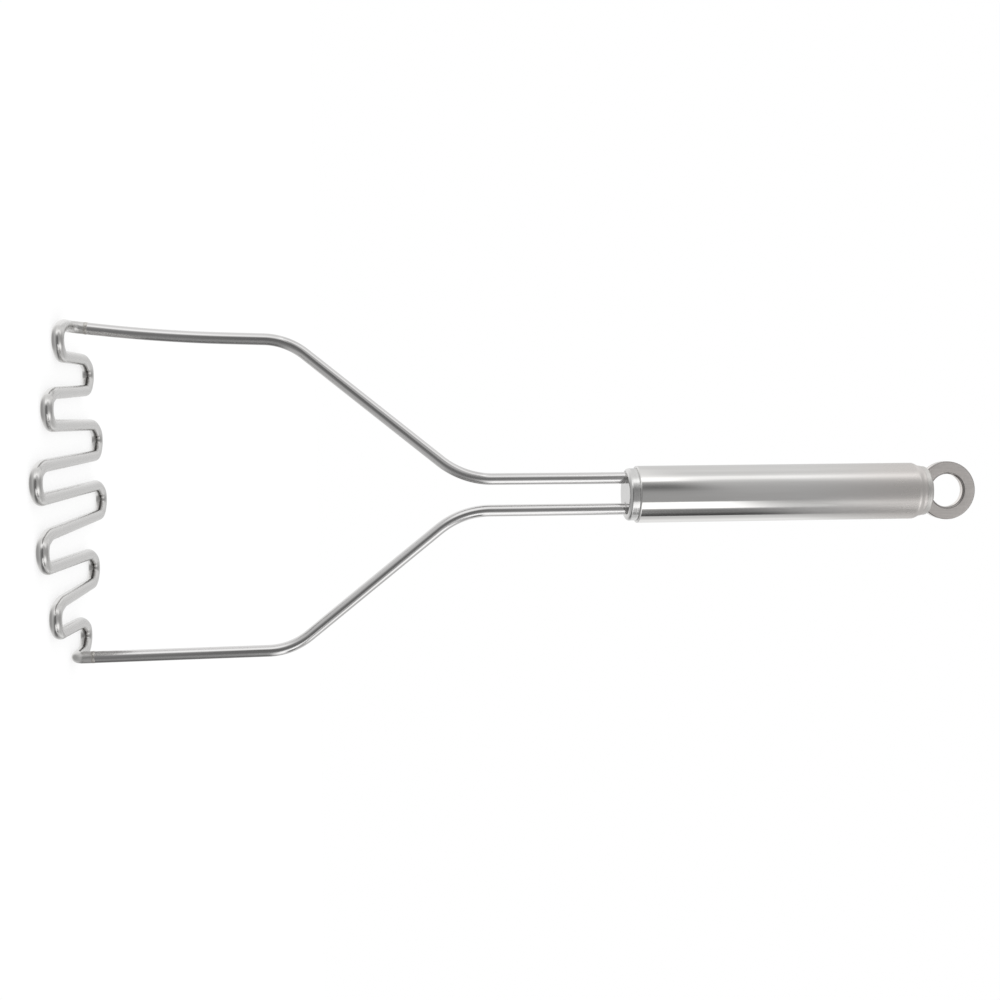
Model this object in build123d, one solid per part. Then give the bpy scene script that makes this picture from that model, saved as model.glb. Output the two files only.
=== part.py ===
from build123d import *
import os
from math import radians, tan

# Potato masher, in millimetres: the mashing face lies on Z = 0, the handle rises along +Z,
# and the bars of the grid run along Y between two legs at -X and +X.

# Round wire of the grid and of both legs
wire_diameter = 3.65

# Grid: the wire bent to and fro in a plane, with both ends turned up
head_width = 104.2
head_depth = 108.3
turn_width = 9.4
turn_tip_radius = 3.0
left_corner_bend = 3.6
right_corner_bend = 2.4
stub_length = 1.1

# Each turn from left to right, near side first and then by turns far and near: how far it lies
# across the half width, how far it reaches into the half depth, and its width
turn_shares = [
    (-0.903, 0.330, 1.003),
    (-0.728, 0.611, 1.028),
    (-0.497, 0.673, 0.952),
    (-0.309, 0.891, 1.070),
    (-0.099, 1.000, 0.952),
    (0.089, 1.000, 1.047),
    (0.284, 0.876, 0.958),
    (0.517, 0.673, 1.006),
    (0.691, 0.578, 0.910),
    (0.910, 0.345, 0.986),
]

# Each turn opens wide and slowly on its left and more quickly on its right: how far from its tip
# each bar begins to sweep round, in the half depth
left_sweep_share = 0.237
right_sweep_share = 0.136

# Legs: each has its own slightly uneven hand-set bends
left_shoulder_share = 0.918
right_shoulder_share = 0.985
shoulder_height = 66.9
shoulder_bend = 20.5
left_neck_height = 120.7
right_neck_height = 120.0
left_neck_reach = 5.45
right_neck_reach = 4.45
neck_bend = 26.0
left_socket_reach = 5.2
right_socket_reach = 4.55

# The left leg bows slightly inward between the head and its shoulder
left_bow = 1.3
bow_place_share = 0.43
bow_spread_share = 0.8

# Butt welds between the grid's stubs and the legs
weld_length = 0.8
weld_rise = 0.2

# Handle: a tube with a plug in each end; its axis stands a little to the right of the head's middle
handle_offset = 2.67
tube_diameter = 18.0
tube_wall = 0.75
tube_length = 93.0
swage_length = 1.9
lip_diameter = 16.1
lip_length = 0.8
collar_height = 171.9
collar_length = 3.4
collar_edge_radius = 1.2
front_spigot_length = 10.0
socket_depth = 8.0
nose_diameter = 15.7
nose_length = 2.2
nose_edge_radius = 1.3
rear_spigot_length = 6.0

# Hanging ring: a flat washer on edge, welded into a slot across the nose
ring_diameter = 18.7
ring_bore = 10.6
ring_thickness = 3.0
ring_sink = 2.7

# Heights and reaches that follow from the sizes above
bar_level = wire_diameter / 2
corner_reach = (head_width - wire_diameter) / 2
turn_reach = (head_depth - wire_diameter) / 2
tube_start = collar_height + collar_length
tube_end = tube_start + tube_length
swage_start = tube_end - lip_length - swage_length
nose_end = tube_end + nose_length
ring_centre = nose_end - ring_sink + ring_diameter / 2
bore_radius = tube_diameter / 2 - tube_wall
lip_bore_radius = lip_diameter / 2 - tube_wall
weld_distance = left_corner_bend + stub_length


def leg_points(side):
    """Corner, bends and socket end of one leg, joined by straight runs in the plane Y = 0."""
    corner = Vector(side * corner_reach, 0, bar_level)
    socket_level = collar_height + socket_depth
    if side > 0:
        shoulder = Vector(corner_reach * right_shoulder_share, 0, shoulder_height)
        neck = Vector(handle_offset + right_neck_reach, 0, right_neck_height)
        socket = Vector(handle_offset + right_socket_reach, 0, socket_level)
        return [corner, shoulder, neck, socket]
    shoulder = Vector(-corner_reach * left_shoulder_share, 0, shoulder_height)
    neck = Vector(handle_offset - left_neck_reach, 0, left_neck_height)
    socket = Vector(handle_offset - left_socket_reach, 0, socket_level)
    run = shoulder - corner
    inward = run.normalized().rotate(Axis.Y, 90)
    bow = corner + run * bow_place_share + inward * left_bow
    return [corner, bow, shoulder, neck, socket]


def along_leg(side, distance):
    """Point and direction on the leg's first straight run, measured from the corner of the head."""
    corner, bend = leg_points(side)[:2]
    direction = (bend - corner).normalized()
    return corner + direction * distance, direction


def round_wire(path):
    """Round wire along a path."""
    section = Plane(origin=path @ 0, z_dir=path % 0) * Circle(wire_diameter / 2)
    return sweep(section, path=path)


def turn_places():
    """Tip of every turn, between the two points at its sides that the bars run toward."""
    places = []
    side = -1
    for across_share, reach_share, width_share in turn_shares:
        tip = Vector(corner_reach * across_share, side * turn_reach * reach_share, bar_level)
        half = Vector(turn_width * width_share / 2, 0, 0)
        places.append((tip - half, tip, tip + half))
        side = -side
    return places


def arc_about(centre, start, end):
    """The shorter arc from start to end about a centre."""
    middle = (start + end) / 2 - centre
    return ThreePointArc(start, centre + middle.normalized() * (start - centre).length, end)


def half_turn(tip, aim, away, sweep_length):
    """Tight arc at the tip of a turn, and the wide arc that leads from it to a bar on one side.

    The bar runs from its aim point in the direction away, and the wide arc meets it after the sweep
    length. The wide radius is the one whose circle touches both the bar there and the tight circle.
    """
    tight_centre = tip + Vector(0, -tip.Y, 0).normalized() * turn_tip_radius
    landing = aim + away * sweep_length
    to_tip = tip - aim
    inward = (to_tip - away * to_tip.dot(away)).normalized()
    offset = landing - tight_centre
    reach = offset.dot(inward) + turn_tip_radius
    wide_radius = (turn_tip_radius**2 - offset.dot(offset)) / (2 * reach)
    wide_centre = landing + inward * wide_radius
    meeting = tight_centre + (tight_centre - wide_centre).normalized() * turn_tip_radius
    return [arc_about(tight_centre, tip, meeting), arc_about(wide_centre, meeting, landing)]


def turned_up_end(side, landing, bend):
    """Path from the stub that meets the leg's weld, round the corner of the head, to the first sweep."""
    corner = Vector(side * corner_reach, 0, bar_level)
    return FilletPolyline(along_leg(side, weld_distance)[0], corner, landing, radius=bend).edges()


def grid():
    """The mashing grid, from one stub through all the turns to the other stub."""
    turns = turn_places()
    left_corner = Vector(-corner_reach, 0, bar_level)
    right_corner = Vector(corner_reach, 0, bar_level)
    starts = [left_corner, *[after for before, tip, after in turns]]
    ends = [*[before for before, tip, after in turns], right_corner]
    along = [(end - start).normalized() for start, end in zip(starts, ends)]
    run = []
    for (before, tip, after), arriving, leaving in zip(turns, along, along[1:]):
        left_half = half_turn(tip, before, -arriving, turn_reach * left_sweep_share)
        right_half = half_turn(tip, after, leaving, turn_reach * right_sweep_share)
        if run:
            run.append(Line(run[-1] @ 1, left_half[1] @ 1))
        run += [*reversed(left_half), *right_half]
    left_end = turned_up_end(-1, run[0] @ 1, left_corner_bend)
    right_end = turned_up_end(1, run[-1] @ 1, right_corner_bend)
    return round_wire(Wire([*left_end, *run, *right_end]))


def weld(side):
    """Dressed butt weld: a thin bead that stands proud all round between stub and leg."""
    point, direction = along_leg(side, weld_distance + weld_length / 2)
    bead = Cylinder(wire_diameter / 2 + weld_rise, weld_length)
    bead = fillet(bead.edges().filter_by(GeomType.CIRCLE), weld_rise)
    return Plane(origin=point, z_dir=direction) * bead


def bow_radius(points):
    """Radius that spreads the left leg's bow over most of its first straight run."""
    run = points[1] - points[0]
    turn = run.get_angle(points[2] - points[1])
    return run.length * bow_spread_share / tan(radians(turn) / 2)


def leg(side):
    """Round wire from the weld over shoulder and neck into its socket in the front plug."""
    points = leg_points(side)
    points[0] = along_leg(side, weld_distance + weld_length)[0]
    radii = [shoulder_bend, neck_bend]
    if side < 0:
        radii = [bow_radius(points), *radii]
    return round_wire(FilletPolyline(points, radius=radii))


def on_handle(level, solid):
    """Stands a solid on the handle's axis with its lower end at the given level."""
    return Pos(handle_offset, 0, level) * solid


def upright(radius, length):
    """Cylinder that stands on its lower end."""
    return Cylinder(radius, length, align=(Align.CENTER, Align.CENTER, Align.MIN))


def front_plug(legs):
    """Plug that shows as a collar with a rounded front edge and holds the ends of both legs."""
    body = upright(bore_radius, collar_length + front_spigot_length)
    body = fillet(body.edges().sort_by(Axis.Z)[0], collar_edge_radius)
    return on_handle(collar_height, body) - legs


def tube():
    """Thin tube, swaged down in a short cone to a lip at the rear end."""
    profile = Polyline(
        (tube_diameter / 2, 0, tube_start),
        (tube_diameter / 2, 0, swage_start),
        (lip_diameter / 2, 0, tube_end - lip_length),
        (lip_diameter / 2, 0, tube_end),
        (lip_bore_radius, 0, tube_end),
        (lip_bore_radius, 0, tube_end - lip_length),
        (bore_radius, 0, swage_start),
        (bore_radius, 0, tube_start),
        close=True,
    )
    return on_handle(0, revolve(make_face(profile), Axis.Z))


def ring_blank():
    """The ring's full disc on edge, before its hole is made."""
    disc = Rot(90, 0, 0) * Cylinder(ring_diameter / 2, ring_thickness)
    return on_handle(ring_centre, disc)


def rear_plug():
    """Rounded nose with a spigot inside the lip, slotted across for the ring."""
    nose = upright(nose_diameter / 2, nose_length)
    nose = fillet(nose.edges().sort_by(Axis.Z)[-1], nose_edge_radius)
    spigot = upright(lip_bore_radius, rear_spigot_length)
    return on_handle(tube_end, nose) + on_handle(tube_end - rear_spigot_length, spigot) - ring_blank()


def ring():
    """Flat hanging ring."""
    hole = Rot(90, 0, 0) * Cylinder(ring_bore / 2, ring_thickness)
    return ring_blank() - on_handle(ring_centre, hole)


left_leg = leg(-1)
right_leg = leg(1)
parts = {
    "grid": grid(),
    "left_weld": weld(-1),
    "right_weld": weld(1),
    "left_leg": left_leg,
    "right_leg": right_leg,
    "front_plug": front_plug(left_leg + right_leg),
    "tube": tube(),
    "rear_plug": rear_plug(),
    "hanging_ring": ring(),
}

os.makedirs("parts", exist_ok=True)
for name, solid in parts.items():
    export_step(solid, os.path.join("parts", name + ".step"))
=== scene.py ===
import bpy
import numpy as np
from mathutils import Matrix


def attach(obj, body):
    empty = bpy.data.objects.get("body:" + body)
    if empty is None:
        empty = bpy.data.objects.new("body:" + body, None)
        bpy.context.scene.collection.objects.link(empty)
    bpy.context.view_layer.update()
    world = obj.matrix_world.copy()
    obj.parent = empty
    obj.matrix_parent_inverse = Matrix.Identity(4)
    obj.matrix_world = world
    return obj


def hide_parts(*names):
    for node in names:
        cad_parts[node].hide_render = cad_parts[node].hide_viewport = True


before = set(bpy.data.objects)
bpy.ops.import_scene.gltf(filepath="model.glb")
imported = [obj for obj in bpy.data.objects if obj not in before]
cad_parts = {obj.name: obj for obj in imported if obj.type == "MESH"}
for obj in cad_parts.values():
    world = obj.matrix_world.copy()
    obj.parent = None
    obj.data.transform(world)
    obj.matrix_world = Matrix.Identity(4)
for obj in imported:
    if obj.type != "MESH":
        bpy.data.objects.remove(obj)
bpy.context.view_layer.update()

# Camera: it looks at the near side of the upright masher with its own right-hand side turned up, so
# that the handle points to the right of the picture, as in the photograph. Its place is in metres.
camera_place = (-0.021177, -0.450416, 0.083628)
picture_right = (0.00784445, -0.10758779, 0.99416464)
picture_down = (0.99844492, -0.054031, -0.01372542)
into_picture = (0.05519239, 0.99272631, 0.10699663)
camera_data = bpy.data.cameras.new("camera")
camera_data.sensor_width = 36
camera_data.lens = 52.2
camera = bpy.data.objects.new("camera", camera_data)
bpy.context.collection.objects.link(camera)
camera.matrix_world = Matrix([
    (right, -down, -into, place)
    for right, down, into, place in zip(picture_right, picture_down, into_picture, camera_place)
] + [(0, 0, 0, 1)])
bpy.context.scene.camera = camera
bpy.context.scene.view_settings.view_transform = "Standard"


# Grid: one round stainless steel wire, bent cold to and fro round pins in a flat plane and turned up
# at both ends. Each turn opens in a long easy sweep on one side and in a short one on the other, as
# the bending arm leaves it. Sizes are in millimetres here and in the sections on the other pieces.
millimetre = 0.001
wire_radius = 1.825
bar_level = wire_radius
corner_reach = 50.275
turn_reach = 52.325
turn_width = 9.4
tip_radius = 3.0
left_sweep = 12.4
right_sweep = 7.12
left_corner_bend = 3.6
right_corner_bend = 2.4
stub_end_distance = 4.7
left_lean = np.array((0.1090, 0, 0.99404))
right_lean = np.array((-0.0116, 0, 0.99993))

# Each turn from left to right, near side first and then by turns far and near: how far its tip lies
# across the half width, how far it reaches into the half depth, and its share of the turns' width
turn_shares = np.array([
    (-0.903, 0.330, 1.003),
    (-0.728, 0.611, 1.028),
    (-0.497, 0.673, 0.952),
    (-0.309, 0.891, 1.070),
    (-0.099, 1.000, 0.952),
    (0.089, 1.000, 1.047),
    (0.284, 0.876, 0.958),
    (0.517, 0.673, 1.006),
    (0.691, 0.578, 0.910),
    (0.910, 0.345, 0.986),
])

# How finely the wire is divided: round it, along the parts of a turn, along a bar and along a bend.
# An edge between two faces is sharp from the crease angle up, on this and the other pieces.
round_points = 48
tip_points = 19
sweep_points = 21
bar_points = 25
least_bend_points = 12
corner_spacing = 0.25
crease_angle = np.radians(50)
wire_angle = np.linspace(0, 2 * np.pi, round_points, endpoint=False)
wire_ring = wire_radius * np.stack([np.cos(wire_angle), np.sin(wire_angle)], -1)[None]


def arc_points(centre, start, end, count):
    """Arc about a centre: each point is the centre plus both spokes, weighted by the sines of the
    shares of the angle between them, over the sine of the whole angle."""
    first, last = start - centre, end - centre
    angle = np.arccos(first @ last / (first @ first))
    share = np.linspace(0, 1, count)[:, None]
    return centre + (np.sin((1 - share) * angle) * first + np.sin(share * angle) * last) / np.sin(angle)


def half_turn(tip, aim, away, sweep):
    """Half of a turn, from its tip to its bar: a tight arc, then the wide arc whose circle touches both
    the tight circle and the bar. Its radius follows from the distance between their centres."""
    tight_centre = tip - np.array((0, np.sign(tip[1]) * tip_radius, 0))
    landing = aim + away * sweep
    inward = (tip - aim) - away * ((tip - aim) @ away)
    inward /= np.linalg.norm(inward)
    offset = landing - tight_centre
    wide_radius = (tip_radius ** 2 - offset @ offset) / (2 * (offset @ inward + tip_radius))
    wide_centre = landing + inward * wide_radius
    step = tight_centre - wide_centre
    meeting = tight_centre + step / np.linalg.norm(step) * tip_radius
    tight = arc_points(tight_centre, tip, meeting, tip_points)
    return np.concatenate([tight[:-1], arc_points(wide_centre, meeting, landing, sweep_points)])


def bent_run(corners, radii, spacing):
    """Path of straight runs joined by arcs: at each corner the arc starts the radius times the tangent
    of half the turn before it, and its points are the centre plus the radius on turning directions."""
    corners = np.asarray(corners, float)
    pieces = []
    start = corners[0]
    for before, corner, after, radius in zip(corners, corners[1:], corners[2:], radii):
        inward = (corner - before) / np.linalg.norm(corner - before)
        outward = (after - corner) / np.linalg.norm(after - corner)
        turn = np.arccos(inward @ outward)
        across = (outward - inward * np.cos(turn)) / np.sin(turn)
        arc_start = corner - inward * radius * np.tan(turn / 2)
        count = int(np.linalg.norm(arc_start - start) / spacing) + 2
        pieces.append(start + (arc_start - start) * np.linspace(0, 1, count)[:-1, None])
        angle = np.linspace(0, turn, int(turn * radius / spacing) + least_bend_points)[:, None]
        arc = arc_start + radius * (inward * np.sin(angle) + across * (1 - np.cos(angle)))
        pieces.append(arc[:-1])
        start = arc[-1]
    count = int(np.linalg.norm(corners[-1] - start) / spacing) + 2
    pieces.append(start + (corners[-1] - start) * np.linspace(0, 1, count)[:, None])
    return np.concatenate(pieces)


def carry(path, sideways, outline):
    """Skin of a section carried along a path: point plus the outline's two measures times the sideways
    and the upward unit vectors. Returns it with its coordinates in the wire when it was straight."""
    steps = np.linalg.norm(np.diff(path, axis=0), axis=1)
    along = np.concatenate([[0], np.cumsum(steps)])
    direction = np.gradient(path, along, axis=0)
    direction /= np.linalg.norm(direction, axis=1)[:, None]
    side = sideways - direction * np.sum(sideways * direction, 1)[:, None]
    side /= np.linalg.norm(side, axis=1)[:, None]
    up = np.cross(direction, side)
    first, second = outline[..., :1], outline[..., 1:]
    skin = path[:, None] + first * side[:, None] + second * up[:, None]
    straight = np.concatenate([np.broadcast_to(along[:, None, None], first.shape), first, second], -1)
    return skin, straight


def make_piece(name, skin, node, straight=None, ends="flat"):
    """Mesh of a skin given in millimetres as rows of closed rings: four-sided faces between
    neighbours, and either flat ends or a last row that joins the first."""
    rows, columns = skin.shape[:2]
    index = np.arange(rows * columns).reshape(rows, columns)
    if ends == "joined":
        index = np.concatenate([index, index[:1]])
    index = np.concatenate([index, index[:, :1]], 1)
    quads = np.stack([index[:-1, :-1], index[:-1, 1:], index[1:, 1:], index[1:, :-1]], -1).reshape(-1, 4)
    faces = quads.tolist()
    if ends == "flat":
        faces += [index[0, -2::-1].tolist(), index[-1, :-1].tolist()]
    mesh = bpy.data.meshes.new(name)
    mesh.from_pydata((skin.reshape(-1, 3) * millimetre).tolist(), [], faces)
    mesh.shade_smooth()
    mesh.set_sharp_from_angle(angle=crease_angle)
    if straight is not None:
        layer = mesh.attributes.new("along_wire", "FLOAT_VECTOR", "POINT")
        layer.data.foreach_set("vector", straight.astype(np.float32).ravel())
    piece = bpy.data.objects.new(name, mesh)
    bpy.context.collection.objects.link(piece)
    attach(piece, "root")
    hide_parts(node)
    return piece


# The bars run from the corner of the head past the sides of every turn to the other corner, and each
# turn takes its headings from the two bars that it joins
turn_side = np.tile([-1, 1], 5)
tips = np.stack([
    corner_reach * turn_shares[:, 0],
    turn_side * turn_reach * turn_shares[:, 1],
    np.full(len(turn_shares), bar_level)], -1)
half_widths = np.outer(turn_width / 2 * turn_shares[:, 2], (1, 0, 0))
left_corner = np.array((-corner_reach, 0, bar_level))
right_corner = np.array((corner_reach, 0, bar_level))
left_stub_end = left_corner + left_lean * stub_end_distance
right_stub_end = right_corner + right_lean * stub_end_distance
bar_starts = np.concatenate([[left_corner], tips + half_widths])
bar_ends = np.concatenate([tips - half_widths, [right_corner]])
bar_headings = bar_ends - bar_starts
bar_headings /= np.linalg.norm(bar_headings, axis=1)[:, None]
turn_runs = []
for number, tip in enumerate(tips):
    arriving = half_turn(tip, bar_ends[number], -bar_headings[number], left_sweep)
    leaving = half_turn(tip, bar_starts[number + 1], bar_headings[number + 1], right_sweep)
    turn_runs.append(np.concatenate([arriving[::-1], leaving[1:]]))

# The wire's path: the left stub and its bend, the turns with straight bars between them, and the right
# bend and its stub. The section's side is the flat path's heading turned by a quarter, and each end
# keeps the side of the flat part next to it.
left_bend = bent_run([left_stub_end, left_corner, turn_runs[0][0]], [left_corner_bend], corner_spacing)
right_bend = bent_run(
    [turn_runs[-1][-1], right_corner, right_stub_end], [right_corner_bend], corner_spacing)
level_runs = [turn_runs[0]]
bar_share = np.linspace(0, 1, bar_points)[1:-1, None]
for before, after in zip(turn_runs, turn_runs[1:]):
    level_runs += [before[-1] + (after[0] - before[-1]) * bar_share, after]
level_path = np.concatenate(level_runs)[1:-1]
ahead = np.gradient(level_path, axis=0)
level_sides = np.stack([-ahead[:, 1], ahead[:, 0], np.zeros(len(ahead))], -1)
grid_path = np.concatenate([left_bend, level_path, right_bend])
grid_sides = np.concatenate([
    np.repeat(level_sides[:1], len(left_bend), 0),
    level_sides,
    np.repeat(level_sides[-1:], len(right_bend), 0)])
grid_rings = np.broadcast_to(wire_ring, (len(grid_path), *wire_ring.shape[1:]))
grid_skin, grid_straight = carry(grid_path, grid_sides, grid_rings)
grid = make_piece("grid_wire", grid_skin, "grid", grid_straight)

# How far each point of the skin lies on the inside of a flat bend, from nought to one: the way from the
# wire's middle to the point, over the radius, along the unit vector to the bend's centre. A bend wider
# than the full shade radius counts for less. The grid's material darkens these places as painted shade.
full_shade_radius = 9
level_tolerance = 0.01
least_bend = 0.001
along_path = grid_straight[:, 0, 0]
path_heading = np.gradient(grid_path, along_path, axis=0)
path_bend = np.gradient(path_heading, along_path, axis=0)
tightness = np.linalg.norm(path_bend, axis=1)[:, None]
lies_flat = grid_path[:, 2:] < bar_level + level_tolerance
path_bend *= lies_flat * np.clip(full_shade_radius * tightness, 0, 1) / np.maximum(tightness, least_bend)
inner_share = np.sum((grid_skin - grid_path[:, None]) * path_bend[:, None], -1) / wire_radius
layer = grid.data.attributes.new("inside_of_bend", "FLOAT", "POINT")
layer.data.foreach_set("value", np.clip(inner_share, 0, 1).astype(np.float32).ravel())


def linear(hex_colour):
    """Linear colour of an sRGB hex value: a small share of 255 over 12.92, and a larger one plus 0.055,
    over 1.055, to the power of 2.4."""
    share = np.array([int(hex_colour[i:i + 2], 16) for i in (0, 2, 4)]) / 255
    low = share / 12.92
    return (*np.where(share <= 0.04045, low, ((share + 0.055) / 1.055) ** 2.4), 1)


def new_finish(name):
    """Starts a material with an empty node tree, and returns both."""
    finish = bpy.data.materials.new(name)
    finish.use_nodes = True
    finish.node_tree.nodes.clear()
    return finish, finish.node_tree


def add_node(tree, kind, inputs, stops=(), **settings):
    """Adds one node with its settings. An input is a value or the socket that is linked to it, and 6
    and 7 are a mix's two colours. Each of a ramp's stops is a place from nought to one and a grey."""
    node = tree.nodes.new(kind)
    for key, value in settings.items():
        setattr(node, key, value)
    for key, value in inputs.items():
        if isinstance(value, bpy.types.NodeSocket):
            tree.links.new(value, node.inputs[key])
        else:
            node.inputs[key].default_value = value
    for number, (place, grey) in enumerate(stops):
        elements = node.color_ramp.elements
        if number == 0:
            elements.remove(elements[-1])
        element = elements[0] if number == 0 else elements.new(place)
        element.position = place
        element.color = (grey, grey, grey, 1)
    return node


# Stainless steel wire, drawn and then tumbled: fine draw lines run along it, and between them it
# reflects like a satin mirror with slow waves. The inside of each tight bend is painted darker in
# uneven patches, as painted shade and painted dark reflection where the wire shades itself, and both
# ends were buffed to a duller satin after welding. The lines are 12 mm long and 0.4 mm wide, coarser
# than the real ones so that they show, the waves 3 mm, and the patches of painted shade 0.7 mm.
# Depths, heights and distances are in metres in this and the other materials.
lines_per_mm = (0.08, 2.6, 2.6)
waves_per_mm = 0.35
shade_patches_per_mm = 1.4
wave_depth = 0.00003
line_depth = 0.000002
buffing_starts = 0.002
buffing_full = 0.0045
grid_steel, tree = new_finish("tumbled_stainless_steel")
wire = add_node(tree, "ShaderNodeAttribute", {}, attribute_name="along_wire").outputs["Vector"]
line_place = add_node(tree, "ShaderNodeMapping", {"Vector": wire, "Scale": lines_per_mm})
lines = add_node(tree, "ShaderNodeTexNoise", {"Vector": line_place.outputs[0], "Scale": 1, "Detail": 1})
waves = add_node(tree, "ShaderNodeTexNoise", {"Vector": wire, "Scale": waves_per_mm, "Detail": 1})
tone = add_node(tree, "ShaderNodeMix", {
    "Factor": lines.outputs["Fac"], 6: linear("c5c4c2"), 7: linear("d8d7d6")}, data_type="RGBA")
# Painted shade: the steel's colour darkens in uneven patches on the inside of each tight bend.
bend = add_node(tree, "ShaderNodeAttribute", {}, attribute_name="inside_of_bend").outputs["Fac"]
shade_patches = add_node(tree, "ShaderNodeTexNoise", {"Vector": wire, "Scale": shade_patches_per_mm, "Detail": 2})
uneven_bend = add_node(tree, "ShaderNodeMath", {
    0: shade_patches.outputs["Fac"], 1: 0.35, 2: bend}, operation="MULTIPLY_ADD")
dark = add_node(tree, "ShaderNodeMapRange", {
    "Value": uneven_bend.outputs[0], "From Min": 0.95, "From Max": 1.15})
bend_painted_shade = add_node(tree, "ShaderNodeMix", {
    "Factor": dark.outputs[0], 6: tone.outputs[2], 7: linear("959391")}, data_type="RGBA")
place = add_node(tree, "ShaderNodeTexCoord", {}).outputs["Object"]
height = add_node(tree, "ShaderNodeSeparateXYZ", {"Vector": place}).outputs["Z"]
buffed = add_node(tree, "ShaderNodeMapRange", {
    "Value": height, "From Min": buffing_starts, "From Max": buffing_full,
    "To Min": 0.1, "To Max": 0.3})
satin = add_node(tree, "ShaderNodeMath", {
    0: lines.outputs["Fac"], 1: 0.12, 2: buffed.outputs[0]}, operation="MULTIPLY_ADD")
wavy = add_node(tree, "ShaderNodeBump", {
    "Height": waves.outputs["Fac"], "Strength": 1, "Distance": wave_depth})
lined = add_node(tree, "ShaderNodeBump", {
    "Height": lines.outputs["Fac"], "Normal": wavy.outputs[0], "Strength": 1, "Distance": line_depth})
shader = add_node(tree, "ShaderNodeBsdfPrincipled", {
    "Base Color": bend_painted_shade.outputs[2], "Metallic": 1, "Roughness": satin.outputs[0],
    "Normal": lined.outputs[0]})
add_node(tree, "ShaderNodeOutputMaterial", {"Surface": shader.outputs[0]})
grid.data.materials.append(grid_steel)


# Legs: two round stainless steel wires, each bent by hand at a shoulder and at the neck, and the left
# one slightly bowed below its shoulder. Their lower ends are butt-welded to the grid's turned-up ends
# and their upper ends go into the front plug.
weld_length = 0.8
handle_x = 2.67
bow_place = (-47.2, 0, 29.8)
left_shoulder_x = -46.15
right_shoulder_x = 49.5
shoulder_height = 66.9
left_neck_reach = 5.45
right_neck_reach = 4.45
left_neck_height = 120.7
right_neck_height = 120.0
left_socket_reach = 5.2
right_socket_reach = 4.55
socket_height = 179.9
bow_bend = 450
shoulder_bend = 20.5
neck_bend = 26
leg_spacing = 1.0
left_leg_corners = [
    left_stub_end + left_lean * weld_length,
    bow_place,
    (left_shoulder_x, 0, shoulder_height),
    (handle_x - left_neck_reach, 0, left_neck_height),
    (handle_x - left_socket_reach, 0, socket_height)]
right_leg_corners = [
    right_stub_end + right_lean * weld_length,
    (right_shoulder_x, 0, shoulder_height),
    (handle_x + right_neck_reach, 0, right_neck_height),
    (handle_x + right_socket_reach, 0, socket_height)]

# Stainless steel wire, polished along its length: clear mirror bands with faint streaks that run
# with the wire, and long shallow waves from the straightening rolls. The streaks are 33 mm long and
# 0.6 mm wide, coarser than the real ones so that they show, and the waves 8 mm long.
streaks_per_mm = (0.03, 1.8, 1.8)
roll_waves_per_mm = 0.12
leg_steel, tree = new_finish("polished_stainless_wire")
wire = add_node(tree, "ShaderNodeAttribute", {}, attribute_name="along_wire").outputs["Vector"]
streak_place = add_node(tree, "ShaderNodeMapping", {"Vector": wire, "Scale": streaks_per_mm})
streaks = add_node(tree, "ShaderNodeTexNoise", {
    "Vector": streak_place.outputs[0], "Scale": 1, "Detail": 1})
waves = add_node(tree, "ShaderNodeTexNoise", {"Vector": wire, "Scale": roll_waves_per_mm, "Detail": 1})
tone = add_node(tree, "ShaderNodeMix", {
    "Factor": streaks.outputs["Fac"], 6: linear("c6c5c4"), 7: linear("dcdbdb")}, data_type="RGBA")
polish = add_node(tree, "ShaderNodeMapRange", {
    "Value": streaks.outputs["Fac"], "From Min": 0.3, "From Max": 0.7, "To Min": 0.1, "To Max": 0.18})
wavy = add_node(tree, "ShaderNodeBump", {
    "Height": waves.outputs["Fac"], "Strength": 1, "Distance": wave_depth})
streaked = add_node(tree, "ShaderNodeBump", {
    "Height": streaks.outputs["Fac"], "Normal": wavy.outputs[0], "Strength": 1, "Distance": line_depth})
shader = add_node(tree, "ShaderNodeBsdfPrincipled", {
    "Base Color": tone.outputs[2], "Metallic": 1, "Roughness": polish.outputs[0],
    "Normal": streaked.outputs[0]})
add_node(tree, "ShaderNodeOutputMaterial", {"Surface": shader.outputs[0]})

for name, corners, bends in [
    ("left_leg", left_leg_corners, [bow_bend, shoulder_bend, neck_bend]),
    ("right_leg", right_leg_corners, [shoulder_bend, neck_bend]),
]:
    leg_path = bent_run(corners, bends, leg_spacing)
    leg_side = np.broadcast_to(np.array((0.0, 1.0, 0.0)), leg_path.shape)
    leg_rings = np.broadcast_to(wire_ring, (len(leg_path), *wire_ring.shape[1:]))
    leg_skin, leg_straight = carry(leg_path, leg_side, leg_rings)
    leg = make_piece(name + "_wire", leg_skin, name, leg_straight)
    leg.data.materials.append(leg_steel)


# Welds: the bead between each turned-up end of the grid and its leg. It was dressed by hand, so it
# stands a little proud and uneven all round, duller and greyer than the wire.
bead_points = 17
bead_overlap = 0.25
bead_sink = 0.03
bead_rise = 0.09

# Stainless steel weld metal, dressed with a file and a flap wheel: grains 0.6 mm across, light and
# dark, on a dull satin.
grains_per_metre = 1600
grain_depth = 0.00002
weld_steel, tree = new_finish("dressed_weld_bead")
place = add_node(tree, "ShaderNodeTexCoord", {}).outputs["Object"]
grains = add_node(tree, "ShaderNodeTexNoise", {"Vector": place, "Scale": grains_per_metre, "Detail": 3})
tone = add_node(tree, "ShaderNodeMix", {
    "Factor": grains.outputs["Fac"], 6: linear("a5a19c"), 7: linear("dcdad6")}, data_type="RGBA")
dressed = add_node(tree, "ShaderNodeBump", {
    "Height": grains.outputs["Fac"], "Strength": 1, "Distance": grain_depth})
shader = add_node(tree, "ShaderNodeBsdfPrincipled", {
    "Base Color": tone.outputs[2], "Metallic": 1, "Roughness": 0.42, "Normal": dressed.outputs[0]})
add_node(tree, "ShaderNodeOutputMaterial", {"Surface": shader.outputs[0]})

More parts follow.
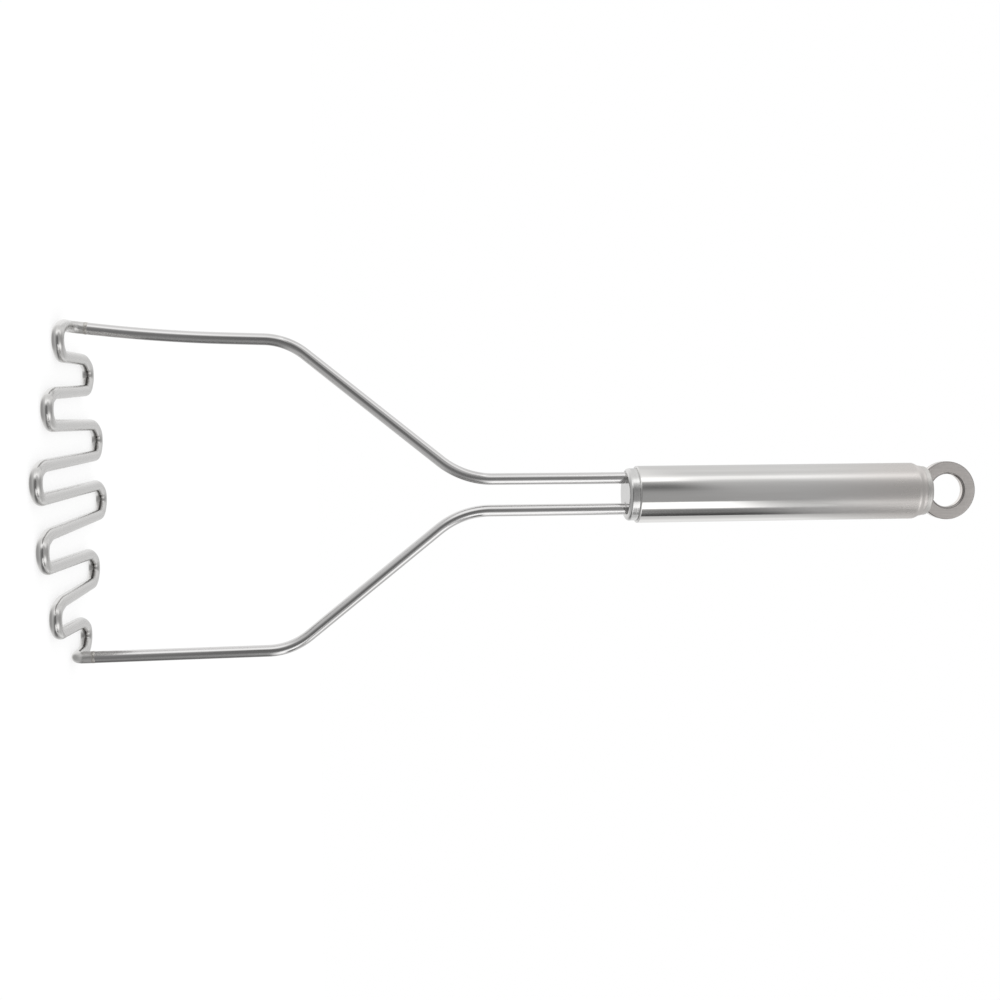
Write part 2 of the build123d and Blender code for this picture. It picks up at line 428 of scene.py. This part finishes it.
# The bead's radius is the wire's plus a rise that swells as a sine along the bead, times a lump factor
# of two cosines round it
bead_share = np.linspace(0, 1, bead_points)[:, None]
bead_along = (weld_length + 2 * bead_overlap) * bead_share - bead_overlap
bead_lump = 1 + 0.3 * np.cos(2 * wire_angle + 1) + 0.2 * np.cos(5 * wire_angle)
bead_radius = wire_radius - bead_sink + bead_rise * np.sin(np.pi * bead_share) ** 0.8 * bead_lump
bead_outline = bead_radius[..., None] * wire_ring / wire_radius
for name, stub_end, lean in [
    ("left_weld", left_stub_end, left_lean),
    ("right_weld", right_stub_end, right_lean),
]:
    bead_path = stub_end + lean * bead_along
    bead_side = np.broadcast_to(np.array((0.0, 1.0, 0.0)), bead_path.shape)
    bead_skin, _ = carry(bead_path, bead_side, bead_outline)
    weld = make_piece(name + "_bead", bead_skin, name)
    weld.data.materials.append(weld_steel)


# Front plug: turned from stainless steel bar. Its collar shows in front of the tube with a rounded
# edge and a flat face, and the face has two holes that hold the legs, each in a shallow hollow.
collar_height = 171.9
collar_radius = 8.25
collar_edge = 1.2
plug_length = 13.4
back_chamfer = 0.2
left_wire_reach = 5.23
right_wire_reach = 4.54
hollow_depth = 0.5
hollow_width = 0.55
face_band = 1.0

# How finely it is divided: the points round the axis, along the face and along the side, the radius of
# the innermost ring, and how far behind the edge the side's first ring lies
lathe_points = 192
face_points = 40
side_points = 14
pole_radius = 0.02
behind_edge = 0.2
lathe_angle = np.linspace(0, 2 * np.pi, lathe_points, endpoint=False)


def turn_on_lathe(profile):
    """Skin of a profile of radius and height turned about the handle's axis: axis plus the radius
    times cosine and sine of the angle."""
    radius, height = np.asarray(profile, float).T[..., None]
    return np.stack(np.broadcast_arrays(
        handle_x + radius * np.cos(lathe_angle), radius * np.sin(lathe_angle), height), -1)


def quarter_round(centre, radius, start, count=9):
    """Profile points on a quarter circle: centre plus the radius times cosine and sine, from the start
    angle in degrees through ninety."""
    angle = np.radians(start + np.linspace(0, 90, count))
    return np.stack([centre[0] + radius * np.cos(angle), centre[1] + radius * np.sin(angle)], -1)


def soft_step(value, low, high):
    """Smooth change from nought at low to one at high: three times the square less twice the cube."""
    share = np.clip((value - low) / (high - low), 0, 1)
    return share * share * (3 - 2 * share)


face_radii = np.linspace(pole_radius, collar_radius - collar_edge, face_points)
side_heights = collar_height + np.linspace(
    collar_edge + behind_edge, plug_length - back_chamfer, side_points)
plug_profile = np.concatenate([
    np.stack([face_radii, np.full(face_points, collar_height)], -1)[:-1],
    quarter_round(
        (collar_radius - collar_edge, collar_height + collar_edge), collar_edge, -90, count=17),
    np.stack([np.full(side_points, collar_radius), side_heights], -1),
    [(collar_radius - back_chamfer, collar_height + plug_length)],
    [(pole_radius, collar_height + plug_length)],
])

# Each hollow's depth falls away softly from the wire outwards, and only the face has it
plug_skin = turn_on_lathe(plug_profile)
for wire_x in (handle_x - left_wire_reach, handle_x + right_wire_reach):
    from_wire = np.hypot(plug_skin[..., 0] - wire_x, plug_skin[..., 1])
    on_face = plug_skin[..., 2] < collar_height + face_band
    hollow = hollow_depth * (1 - soft_step(from_wire, wire_radius, wire_radius + hollow_width))
    plug_skin[..., 2] += np.where(on_face, hollow, 0)
front_plug = make_piece("front_collar", plug_skin, "front_plug")

# Stainless steel turned on a lathe and polished: fine rings about the axis show in the reflections.
# They are 0.4 mm apart, coarser than real tool marks so that they show.
rings_per_metre = 2500
ring_mark_depth = 0.00001
plug_steel, tree = new_finish("turned_stainless_steel")
place = add_node(tree, "ShaderNodeTexCoord", {}).outputs["Object"]
centred = add_node(tree, "ShaderNodeMapping", {
    "Vector": place, "Location": (-handle_x * millimetre, 0, 0)})
axis_parts = add_node(tree, "ShaderNodeSeparateXYZ", {"Vector": centred.outputs[0]})
flat = add_node(tree, "ShaderNodeCombineXYZ", {
    "X": axis_parts.outputs["X"], "Y": axis_parts.outputs["Y"]})
radius = add_node(tree, "ShaderNodeVectorMath", {0: flat.outputs[0]}, operation="LENGTH")
ring_place = add_node(tree, "ShaderNodeCombineXYZ", {
    "X": radius.outputs["Value"], "Z": axis_parts.outputs["Z"]})
ridges = add_node(tree, "ShaderNodeTexNoise", {
    "Vector": ring_place.outputs[0], "Scale": rings_per_metre, "Detail": 2})
tone = add_node(tree, "ShaderNodeMix", {
    "Factor": ridges.outputs["Fac"], 6: linear("c6c5c4"), 7: linear("dbdbda")}, data_type="RGBA")
turned = add_node(tree, "ShaderNodeBump", {
    "Height": ridges.outputs["Fac"], "Strength": 1, "Distance": ring_mark_depth})
shader = add_node(tree, "ShaderNodeBsdfPrincipled", {
    "Base Color": tone.outputs[2], "Metallic": 1, "Roughness": 0.16, "Normal": turned.outputs[0]})
add_node(tree, "ShaderNodeOutputMaterial", {"Surface": shader.outputs[0]})
front_plug.data.materials.append(plug_steel)


# Tube: thin welded stainless steel tube, the handle. Its front rim is rounded over, and its rear end is
# swaged down in a short cone to a lip that grips the rear plug.
tube_radius = 9.0
tube_wall = 0.75
tube_start = 175.3
swage_start = 265.6
lip_start = 267.5
tube_end = 268.3
lip_radius = 8.05
bore_radius = tube_radius - tube_wall
bore_round = 0.15
rim_round = 0.22
lip_round = 0.3
behind_bore_rim = 0.2
behind_rim = 0.4
before_cone = 0.1
barrel_points = 60
cone_points = 25
cone_lead = 0.5
cone_tail = 0.4

# Swaging eases the cone into the barrel and into the lip: its radius makes a soft step, which starts a
# little before the swage and ends a little way along the lip
cone_start = swage_start - cone_lead
cone_end = lip_start + cone_tail
cone_share = np.linspace(0, 1, cone_points)
cone = np.stack([
    tube_radius - (tube_radius - lip_radius) * soft_step(cone_share, 0, 1),
    cone_start + (cone_end - cone_start) * cone_share], -1)
barrel_heights = np.linspace(tube_start + behind_rim, cone_start - before_cone, barrel_points)
tube_profile = np.concatenate([
    [(bore_radius, tube_start + behind_bore_rim)],
    quarter_round((bore_radius + bore_round, tube_start + bore_round), bore_round, 180, count=4),
    quarter_round((tube_radius - rim_round, tube_start + rim_round), rim_round, -90),
    np.stack([np.full(barrel_points, tube_radius), barrel_heights], -1),
    cone,
    quarter_round((lip_radius - lip_round, tube_end - lip_round), lip_round, 0),
    [(lip_radius - tube_wall, tube_end), (lip_radius - tube_wall, lip_start)],
    [(bore_radius, swage_start)],
])
tube = make_piece("handle_tube", turn_on_lathe(tube_profile), "tube", ends="joined")

# Stainless steel tube, mirror-polished: it is clearest at the front and hazier and a little warmer in
# tone towards the rear end, where buffing over the swaged cone has left fine scratches. These are 17 mm
# long and 1 mm wide, coarser than the real ones so that they show.
scratches_per_metre = (900, 900, 60)
haze_starts = 0.2
haze_full = 0.268
cone_haze_starts = 0.264
cone_haze_full = 0.267
warm_starts = 0.225
warm_full = 0.266
tube_steel, tree = new_finish("mirror_polished_stainless_tube")
place = add_node(tree, "ShaderNodeTexCoord", {}).outputs["Object"]
height = add_node(tree, "ShaderNodeSeparateXYZ", {"Vector": place}).outputs["Z"]
scratch_place = add_node(tree, "ShaderNodeMapping", {"Vector": place, "Scale": scratches_per_metre})
scratches = add_node(tree, "ShaderNodeTexNoise", {
    "Vector": scratch_place.outputs[0], "Scale": 1, "Detail": 3})
haze = add_node(tree, "ShaderNodeMapRange", {
    "Value": height, "From Min": haze_starts, "From Max": haze_full, "To Min": 0.07, "To Max": 0.27},
    interpolation_type="SMOOTHSTEP")
uneven = add_node(tree, "ShaderNodeMapRange", {
    "Value": scratches.outputs["Fac"], "From Min": 0.3, "From Max": 0.7, "To Min": 0.9, "To Max": 1.12})
cone_haze = add_node(tree, "ShaderNodeMapRange", {
    "Value": height, "From Min": cone_haze_starts, "From Max": cone_haze_full,
    "To Min": 0, "To Max": 0.12})
gloss = add_node(tree, "ShaderNodeMath", {
    0: haze.outputs[0], 1: uneven.outputs[0], 2: cone_haze.outputs[0]}, operation="MULTIPLY_ADD")
tone = add_node(tree, "ShaderNodeMix", {
    "Factor": scratches.outputs["Fac"], 6: linear("d2d1cf"), 7: linear("dad9d8")}, data_type="RGBA")
to_rear = add_node(tree, "ShaderNodeMapRange", {
    "Value": height, "From Min": warm_starts, "From Max": warm_full}, interpolation_type="SMOOTHSTEP")
warmed = add_node(tree, "ShaderNodeMix", {
    "Factor": to_rear.outputs[0], 6: tone.outputs[2], 7: linear("d0ccc9")}, data_type="RGBA")
polished = add_node(tree, "ShaderNodeBump", {
    "Height": scratches.outputs["Fac"], "Strength": 1, "Distance": line_depth})
shader = add_node(tree, "ShaderNodeBsdfPrincipled", {
    "Base Color": warmed.outputs[2], "Metallic": 1, "Roughness": gloss.outputs[0],
    "Normal": polished.outputs[0]})
add_node(tree, "ShaderNodeOutputMaterial", {"Surface": shader.outputs[0]})
tube.data.materials.append(tube_steel)


# Rear plug: a rounded stainless steel nose that closes the tube, with a spigot inside the tube's lip.
# The ring stands in a slot across it, and the weld on both sides of the ring was ground to a soft
# fillet, which dies away before the ring's edge.
nose_radius = 7.85
nose_end = 270.5
nose_edge = 1.3
dome_points = 36
spigot_start = 262.3
spigot_radius = lip_radius - tube_wall
below_lip = 0.05
ring_half = 1.5
fillet_height = 0.9
fillet_start = -0.2
fillet_width = 1.6
fillet_inner = 4.8
fillet_outer = 6.6
top_band = 0.6
dome_radii = np.linspace(nose_radius - nose_edge, pole_radius, dome_points)
nose_profile = np.concatenate([
    [(pole_radius, spigot_start), (spigot_radius, spigot_start), (spigot_radius, tube_end - below_lip)],
    [(nose_radius, tube_end)],
    quarter_round((nose_radius - nose_edge, nose_end - nose_edge), nose_edge, 0, count=17),
    np.stack([dome_radii, np.full(dome_points, nose_end)], -1)[1:],
])

# The fillet raises the top by its height, times the square of a soft fall away from the ring's face,
# times a soft fall along the ring towards its edge
nose_skin = turn_on_lathe(nose_profile)
off_ring = np.abs(nose_skin[..., 1]) - ring_half
fillet = fillet_height * (1 - soft_step(off_ring, fillet_start, fillet_width)) ** 2
within_ring = 1 - soft_step(np.abs(nose_skin[..., 0] - handle_x), fillet_inner, fillet_outer)
on_top = nose_skin[..., 2] > nose_end - top_band
nose_skin[..., 2] += np.where(on_top, fillet * within_ring, 0)
rear_plug = make_piece("rear_nose", nose_skin, "rear_plug")

# Stainless steel, ground and buffed after welding: an even, soft haze with faint cloudy patches 2 mm
# across.
clouds_per_metre = 420
cloud_depth = 0.00003
nose_steel, tree = new_finish("buffed_stainless_steel")
place = add_node(tree, "ShaderNodeTexCoord", {}).outputs["Object"]
clouds = add_node(tree, "ShaderNodeTexNoise", {"Vector": place, "Scale": clouds_per_metre, "Detail": 3})
tone = add_node(tree, "ShaderNodeMix", {
    "Factor": clouds.outputs["Fac"], 6: linear("c6c4c1"), 7: linear("dcdad7")}, data_type="RGBA")
buffed = add_node(tree, "ShaderNodeMapRange", {
    "Value": clouds.outputs["Fac"], "From Min": 0.3, "From Max": 0.7, "To Min": 0.36, "To Max": 0.46})
ground = add_node(tree, "ShaderNodeBump", {
    "Height": clouds.outputs["Fac"], "Strength": 1, "Distance": cloud_depth})
shader = add_node(tree, "ShaderNodeBsdfPrincipled", {
    "Base Color": tone.outputs[2], "Metallic": 1, "Roughness": buffed.outputs[0],
    "Normal": ground.outputs[0]})
add_node(tree, "ShaderNodeOutputMaterial", {"Surface": shader.outputs[0]})
rear_plug.data.materials.append(nose_steel)


# Hanging ring: a thick washer stamped from stainless steel plate. It stands on edge in the rear plug.
# Its outer edges are only slightly broken, and its hole is rounded over.
ring_height = 277.15
ring_outer = 9.35
ring_bore = 5.3
ring_edge = 0.35
bore_edge = 0.75
ring_points = 160
ring_angle = np.linspace(0, 2 * np.pi, ring_points, endpoint=False)
ring_profile = np.concatenate([
    quarter_round((ring_outer - ring_edge, ring_half - ring_edge), ring_edge, 0),
    quarter_round((ring_bore + bore_edge, ring_half - bore_edge), bore_edge, 90, count=13),
    quarter_round((ring_bore + bore_edge, bore_edge - ring_half), bore_edge, 180, count=13),
    quarter_round((ring_outer - ring_edge, ring_edge - ring_half), ring_edge, 270),
])
ring_radius, ring_side = ring_profile.T[..., None]

# The profile turned about the hole's axis: the middle plus the radius times sine and cosine of the angle
ring_skin = np.stack(np.broadcast_arrays(
    handle_x + ring_radius * np.sin(ring_angle),
    ring_side,
    ring_height + ring_radius * np.cos(ring_angle)), -1)
ring = make_piece("ring_washer", ring_skin, "hanging_ring", ends="joined")

# Stainless steel plate, brushed after stamping: a grey satin face with slanting scratches, 0.3 mm wide
# and 6 mm long, coarser than the real ones so that they show. The stamped edges escaped the brush, so
# they are glossier, and a darker colour in a band round the edges of each face is painted shade that
# draws the ring's outline. Distances are from the middle of the plate's thickness.
brush_slant = np.radians(40)
brush_marks_per_metre = (3000, 600, 160)
brush_depth = 0.00002
edge_shade_starts = 0.0007
brushing_starts = 0.0014
brushing_full = 0.00148
plate_face = 0.0015
ring_steel, tree = new_finish("brushed_stainless_plate")
place = add_node(tree, "ShaderNodeTexCoord", {}).outputs["Object"]
brush_place = add_node(tree, "ShaderNodeMapping", {
    "Vector": place, "Rotation": (0, brush_slant, 0), "Scale": brush_marks_per_metre})
brush_marks = add_node(tree, "ShaderNodeTexNoise", {
    "Vector": brush_place.outputs[0], "Scale": 1, "Detail": 3})
across = add_node(tree, "ShaderNodeSeparateXYZ", {"Vector": place}).outputs["Y"]
from_middle = add_node(tree, "ShaderNodeMath", {0: across}, operation="ABSOLUTE")
edge_share = add_node(tree, "ShaderNodeMapRange", {
    "Value": from_middle.outputs[0], "From Min": edge_shade_starts, "From Max": plate_face})
# Painted shade: a darker colour in a band round the edges of each face draws the ring's outline.
edge = add_node(tree, "ShaderNodeValToRGB", {"Fac": edge_share.outputs[0]}, stops=[
    (0.05, 0), (0.35, 1), (0.97, 1), (0.998, 0)])
tone = add_node(tree, "ShaderNodeMix", {
    "Factor": brush_marks.outputs["Fac"], 6: linear("cdc8c5"), 7: linear("ece7e3")}, data_type="RGBA")
edge_painted_shade = add_node(tree, "ShaderNodeMix", {
    "Factor": edge.outputs[0], 6: tone.outputs[2], 7: linear("969290")}, data_type="RGBA")
satin = add_node(tree, "ShaderNodeMapRange", {
    "Value": from_middle.outputs[0], "From Min": brushing_starts, "From Max": brushing_full,
    "To Min": 0.2, "To Max": 0.36})
brushed = add_node(tree, "ShaderNodeBump", {
    "Height": brush_marks.outputs["Fac"], "Strength": 1, "Distance": brush_depth})
shader = add_node(tree, "ShaderNodeBsdfPrincipled", {
    "Base Color": edge_painted_shade.outputs[2], "Metallic": 1, "Roughness": satin.outputs[0],
    "Normal": brushed.outputs[0]})
add_node(tree, "ShaderNodeOutputMaterial", {"Surface": shader.outputs[0]})
ring.data.materials.append(ring_steel)


# Floor: plain white paper, in metres. Part of its white is its own glow, so that it stays white round
# the masher and keeps only a soft shadow, and the steel sees past it into the room.
floor_reach = 4
paper_level = 1.02
paper_grey = linear("898989")
floor_mesh = bpy.data.meshes.new("floor")
floor_mesh.from_pydata([
    (-floor_reach, -floor_reach, 0), (floor_reach, -floor_reach, 0),
    (floor_reach, floor_reach, 0), (-floor_reach, floor_reach, 0)], [], [(0, 1, 2, 3)])
floor = bpy.data.objects.new("floor", floor_mesh)
bpy.context.collection.objects.link(floor)
paper, tree = new_finish("white_paper")
paper.cycles.emission_sampling = "NONE"
ray = add_node(tree, "ShaderNodeLightPath", {})
matt = add_node(tree, "ShaderNodeBsdfDiffuse", {"Color": paper_grey})
glow = add_node(tree, "ShaderNodeEmission", {
    "Color": linear("ffffff"), "Strength": paper_level - paper_grey[0]})
sheet = add_node(tree, "ShaderNodeAddShader", {0: matt.outputs[0], 1: glow.outputs[0]})
clear = add_node(tree, "ShaderNodeBsdfTransparent", {})
seen = add_node(tree, "ShaderNodeMixShader", {
    0: ray.outputs["Is Glossy Ray"], 1: sheet.outputs[0], 2: clear.outputs[0]})
add_node(tree, "ShaderNodeOutputMaterial", {"Surface": seen.outputs[0]})
floor_mesh.materials.append(paper)


# Screen: a black card that stands on the floor close behind the camera, in metres. It darkens the low
# reflections in the tube and in the near turns, and nothing else sees it.
screen_left = -0.26
screen_right = 0.22
screen_distance = -0.47
screen_height = 0.18
card_strength = 0.19
screen_mesh = bpy.data.meshes.new("black_screen")
screen_mesh.from_pydata([
    (screen_left, screen_distance, 0), (screen_right, screen_distance, 0),
    (screen_right, screen_distance, screen_height), (screen_left, screen_distance, screen_height)],
    [], [(3, 2, 1, 0)])
screen = bpy.data.objects.new("black_screen", screen_mesh)
bpy.context.collection.objects.link(screen)
card, tree = new_finish("black_card")
card.cycles.emission_sampling = "NONE"
ray = add_node(tree, "ShaderNodeLightPath", {})
clear = add_node(tree, "ShaderNodeBsdfTransparent", {})
black = add_node(tree, "ShaderNodeEmission", {"Color": linear("ffffff"), "Strength": card_strength})
seen = add_node(tree, "ShaderNodeMixShader", {
    0: ray.outputs["Is Glossy Ray"], 1: clear.outputs[0], 2: black.outputs[0]})
add_node(tree, "ShaderNodeOutputMaterial", {"Surface": seen.outputs[0]})
screen_mesh.materials.append(card)


# Studio: a plain white room lights the paper and its shadow. The steel sees the room's fittings instead:
# a table, a dark wall behind the camera between two tall strip lights, a small black flag before the
# right-hand one, a dim gap over them, high lamps and a grey ceiling. They draw the steel's long bands.
brightest = 2.0
far_strength = 0.46
room_strengths = {
    "table": [
        (-180, 1.05), (-150, 1.15), (-120, 0.98), (-90, 0.84), (-40, 0.66), (20, 0.58), (50, 0.55),
        (80, 0.6), (110, 0.67), (130, 0.76), (155, 0.95), (180, 1.05)],
    "low": [
        (-180, 0.86), (-160, 1.07), (-140, 1.13), (-120, 1.03), (-100, 0.95), (-80, 1.02), (-66, 1.25),
        (-58, 1.4), (-48, 1.35), (-42, 1.0), (-34, 0.6), (-26, 0.36), (-16, 0.27), (0, 0.24),
        (25, 0.24), (40, 0.3), (50, 0.33), (68, 0.35), (80, 0.22), (95, 0.18), (110, 0.2),
        (122, 0.27), (135, 0.5), (150, 0.8), (180, 0.86)],
    "level": [
        (-180, 0.78), (-150, 1.15), (-130, 1.08), (-110, 0.92), (-85, 0.95), (-72, 1.1), (-62, 1.3),
        (-50, 1.25), (-42, 0.95), (-34, 0.6), (-26, 0.36), (-15, 0.27), (0, 0.25), (15, 0.32),
        (27, 0.45), (34, 0.8), (41, 1.25), (48, 1.55), (78, 1.6), (84, 1.15), (97, 1.0),
        (108, 0.72), (120, 0.64), (140, 0.68), (180, 0.78)],
    "strips": [
        (-180, 0.78), (-150, 1.0), (-125, 1.15), (-90, 1.17), (-82, 1.2), (-74, 1.35), (-71, 1.9),
        (-58, 1.9), (-54, 0.9), (-49, 0.48), (-43, 0.34), (-35, 0.22), (-28, 0.19), (-20, 0.28),
        (-12, 0.4), (0, 0.45), (29, 0.45), (32, 1.7), (78, 1.7), (84, 1.05), (97, 0.95),
        (106, 0.75), (117, 0.9), (132, 1.12), (150, 1.0), (180, 0.78)],
    "gap": [
        (-180, 0.78), (-140, 0.84), (-110, 0.92), (-90, 0.85), (-80, 1.0), (-73, 1.35), (-65, 1.3),
        (-57, 0.87), (-46, 0.66), (-30, 0.57), (0, 0.5), (32, 0.48), (42, 0.56), (56, 0.54),
        (63, 0.5), (98, 0.54), (104, 0.68), (125, 0.75), (180, 0.78)],
    "high": [
        (-180, 0.8), (-140, 1.0), (-100, 0.97), (-85, 1.1), (-74, 1.3), (-62, 1.2), (-52, 0.65),
        (-40, 0.5), (0, 0.5), (22, 0.7), (35, 1.1), (45, 1.5), (72, 1.5), (82, 1.0), (92, 0.8),
        (125, 0.62), (150, 0.7), (180, 0.8)],
}
flag_lets_through = [
    (58, 1), (61, 0.3), (68, 0.15), (84, 0.15), (92, 0.075), (97, 0.11), (101, 0.95), (103, 1)]
gap_slant = -0.03
world = bpy.data.worlds.new("studio")
bpy.context.scene.world = world
world.use_nodes = True
world.cycles.sampling_method = "NONE"
tree = world.node_tree
tree.nodes.clear()
direction = add_node(tree, "ShaderNodeTexCoord", {}).outputs["Generated"]
parts = add_node(tree, "ShaderNodeSeparateXYZ", {"Vector": direction})
towards = add_node(tree, "ShaderNodeMath", {0: parts.outputs["Y"], 1: -1}, operation="MULTIPLY")
azimuth = add_node(tree, "ShaderNodeMath", {
    0: parts.outputs["X"], 1: towards.outputs[0]}, operation="ARCTAN2")
elevation = add_node(tree, "ShaderNodeMath", {0: parts.outputs["Z"]}, operation="ARCSINE")
slant = add_node(tree, "ShaderNodeMath", {
    0: azimuth.outputs[0], 1: gap_slant, 2: elevation.outputs[0]}, operation="MULTIPLY_ADD")
around = add_node(tree, "ShaderNodeMapRange", {
    "Value": azimuth.outputs[0], "From Min": -np.pi, "From Max": np.pi})
above, slanted = [
    add_node(tree, "ShaderNodeMapRange", {
        "Value": angle.outputs[0], "From Min": -np.pi / 2, "From Max": np.pi / 2})
    for angle in (elevation, slant)]

# Strengths round the room at each height, by the angle in degrees from straight behind the camera,
# read by ramps that hold a share of the brightest. The flag lets a share of the strips' light through.
fitted = {
    name: add_node(tree, "ShaderNodeValToRGB", {"Fac": around.outputs[0]}, stops=[
        ((angle + 180) / 360, strength / brightest) for angle, strength in stops]).outputs[0]
    for name, stops in room_strengths.items()}
flag = add_node(tree, "ShaderNodeValToRGB", {"Fac": around.outputs[0]}, stops=[
    ((angle + 180) / 360, share) for angle, share in flag_lets_through])
fitted["flagged"] = add_node(tree, "ShaderNodeMix", {
    "Factor": 1.0, 6: fitted["strips"], 7: flag.outputs[0]},
    data_type="RGBA", blend_type="MULTIPLY").outputs[2]
fitted["far"] = (far_strength / brightest, far_strength / brightest, far_strength / brightest, 1)

# Each height fades into the next one between two elevations in degrees, from below upwards
fittings = fitted["far"]
for height, fade_start, fade_end, name in [
    (above, -66, -40, "table"),
    (above, -29, -17, "low"),
    (above, -2, 5, "level"),
    (above, 10.2, 11.2, "flagged"),
    (slanted, 14.0, 15.8, "gap"),
    (above, 24.5, 28, "high"),
    (above, 50, 70, "far"),
]:
    fade = add_node(tree, "ShaderNodeValToRGB", {"Fac": height.outputs[0]}, stops=[
        ((fade_start + 90) / 180, 0), ((fade_end + 90) / 180, 1)])
    fittings = add_node(tree, "ShaderNodeMix", {
        "Factor": fade.outputs[0], 6: fittings, 7: fitted[name]}, data_type="RGBA").outputs[2]
ray = add_node(tree, "ShaderNodeLightPath", {})
studio = add_node(tree, "ShaderNodeBackground", {"Color": fittings, "Strength": brightest})
white = add_node(tree, "ShaderNodeBackground", {"Color": linear("ffffff"), "Strength": 1})
seen = add_node(tree, "ShaderNodeMixShader", {
    0: ray.outputs["Is Glossy Ray"], 1: white.outputs[0], 2: studio.outputs[0]})
add_node(tree, "ShaderNodeOutputWorld", {"Surface": seen.outputs[0]})
